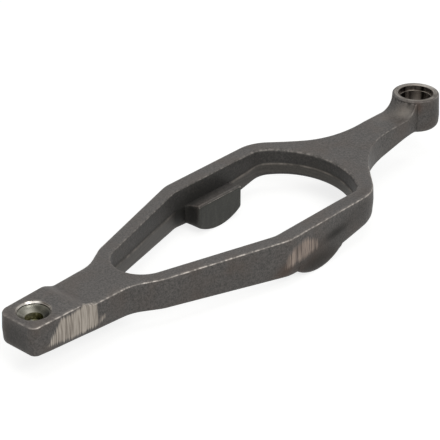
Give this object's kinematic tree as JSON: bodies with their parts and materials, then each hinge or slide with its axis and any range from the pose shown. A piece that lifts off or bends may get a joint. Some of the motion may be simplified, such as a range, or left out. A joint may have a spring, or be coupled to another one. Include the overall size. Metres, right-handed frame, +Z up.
{
  "type": "clutch release fork",
  "caption": "Forged steel lever with an elongated ring that straddles a release bearing between two pads, a ball-seat block at one end and a push-rod eye at the other.",
  "frame": {"origin": "under the middle of the bounding box, level with the lowest point of the two bearing pads", "axes": "+X along the fork from the pivot block to the push-rod eye, +Y across the ring from one pad to the other, +Z up, out of the ring's flat top"},
  "size_m": [0.4352, 0.1184, 0.0512],
  "materials": {
    "forged_steel": "bare forged steel, blasted, dark grey, with brighter worn edges, two ground patches and turned seats"
  },
  "bodies": {
    "root": {"clutch_fork": "forged_steel"}
  },
  "joints": []
}
